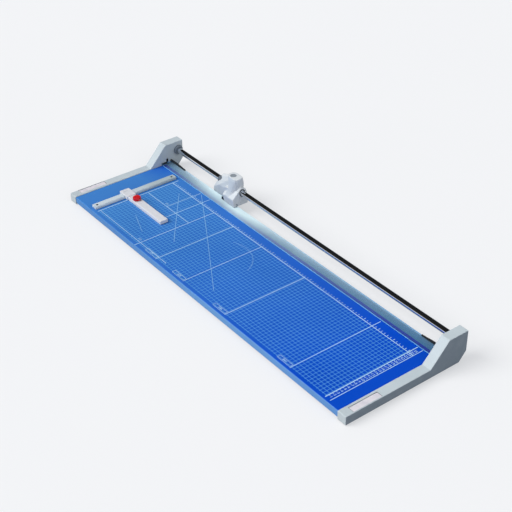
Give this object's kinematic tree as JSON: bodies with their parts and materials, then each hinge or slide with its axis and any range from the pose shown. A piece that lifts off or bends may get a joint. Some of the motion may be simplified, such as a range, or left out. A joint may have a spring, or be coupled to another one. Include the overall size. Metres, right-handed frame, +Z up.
{
  "type": "rotary paper trimmer",
  "caption": "Long table-top trimmer: a head with a circular blade slides on a round rod behind a blue gridded table, with a clear clamp strip and a sliding side stop.",
  "frame": {"origin": "on the ground under the middle of the footprint, halfway along the cut and halfway from front to back", "axes": "+X along the cut to the right, +Y to the rear where the guide rod is, +Z up"},
  "size_m": [1.16, 0.36, 0.097],
  "materials": {
    "table": "satin print on coated sheet",
    "aluminium": "mill",
    "blade_steel": "ground",
    "spring_steel": "drawn wire",
    "rod": "polished",
    "clear_strip": "clear, slightly green",
    "white_plastic": "satin",
    "fasteners": "black zinc",
    "housing": "fine texture",
    "black_plastic": "satin",
    "label": "smooth insert",
    "badge": "smooth",
    "rubber": "matt",
    "red_plastic": "gloss"
  },
  "bodies": {
    "base": {"table_board": "table", "blade_carrier": "aluminium", "lower_blade": "blade_steel", "guide_rod": "rod", "ruler_bar": "white_plastic", "table_brace_left": "aluminium", "table_brace_right": "aluminium", "blade_screw_1": "fasteners", "blade_screw_2": "fasteners", "blade_screw_3": "fasteners", "blade_screw_4": "fasteners", "ruler_screw_front": "fasteners", "ruler_screw_rear": "fasteners", "end_housing_left": "housing", "end_housing_right": "housing", "base_plate_left": "black_plastic", "base_plate_right": "black_plastic", "label_plate_left": "label", "label_plate_right": "label", "rod_bumper_left": "rubber", "rod_bumper_right": "rubber", "rod_lock_screw_left": "fasteners", "rod_lock_screw_right": "fasteners", "lift_spring_left": "spring_steel", "lift_spring_right": "spring_steel", "foot_front_left": "rubber", "foot_front_right": "rubber", "foot_rear_left": "rubber", "foot_rear_right": "rubber", "table_screw_front_left": "fasteners", "table_screw_front_right": "fasteners", "table_screw_rear_left": "fasteners", "table_screw_rear_right": "fasteners"},
    "strip": {"clamp_strip": "clear_strip", "strip_ramp_left": "black_plastic", "strip_ramp_right": "black_plastic", "strip_hanger_left": "black_plastic", "strip_hanger_right": "black_plastic"},
    "head": {"head_body": "housing", "head_cover": "housing", "head_badge": "badge", "slide_bush_left": "black_plastic", "slide_bush_right": "black_plastic", "blade_axle": "blade_steel", "blade_spring": "spring_steel", "roller_pin_left": "blade_steel", "roller_pin_right": "blade_steel", "guide_shoe": "black_plastic", "head_screw_1": "fasteners", "head_screw_2": "fasteners", "head_screw_3": "fasteners"},
    "blade": {"circular_blade": "blade_steel", "blade_hub": "black_plastic"},
    "roller_left": {"press_roller_left": "rubber"},
    "roller_right": {"press_roller_right": "rubber"},
    "stop": {"stop_slider": "white_plastic", "stop_arm": "white_plastic", "clamp_nut": "fasteners"},
    "knob": {"lock_knob": "red_plastic"}
  },
  "joints": [
    {"name": "head_slide", "type": "slide", "parent": "base", "child": "head", "axis": [1, 0, 0], "range_m": [-0.194, 0.78]},
    {"name": "blade_spin", "type": "hinge", "parent": "head", "child": "blade", "pos_m": [-0.2755, 0.1403, 0.044], "axis": [0, 1, 0], "continuous": true},
    {"name": "roller_left_spin", "type": "hinge", "parent": "head", "child": "roller_left", "pos_m": [-0.2635, 0.1313, 0.0349], "axis": [0, 1, 0], "continuous": true},
    {"name": "roller_right_spin", "type": "hinge", "parent": "head", "child": "roller_right", "pos_m": [-0.2435, 0.1313, 0.0349], "axis": [0, 1, 0], "continuous": true},
    {"name": "strip_press", "type": "slide", "parent": "base", "child": "strip", "axis": [0, 0, -1], "range_m": [0, 0.0014], "deforming": ["lift_spring_left", "lift_spring_right"]},
    {"name": "stop_slide", "type": "slide", "parent": "base", "child": "stop", "axis": [0, 1, 0], "range_m": [-0.088, 0.138]},
    {"name": "knob_turn", "type": "hinge", "parent": "stop", "child": "knob", "pos_m": [-0.423, -0.0605, 0.0348], "axis": [0, 0, 1], "range_deg": [0, 180]}
  ],
  "couplings": [
    {"joint": "blade_spin", "follows": "head_slide", "rad_per_m": 47.619}
  ]
}
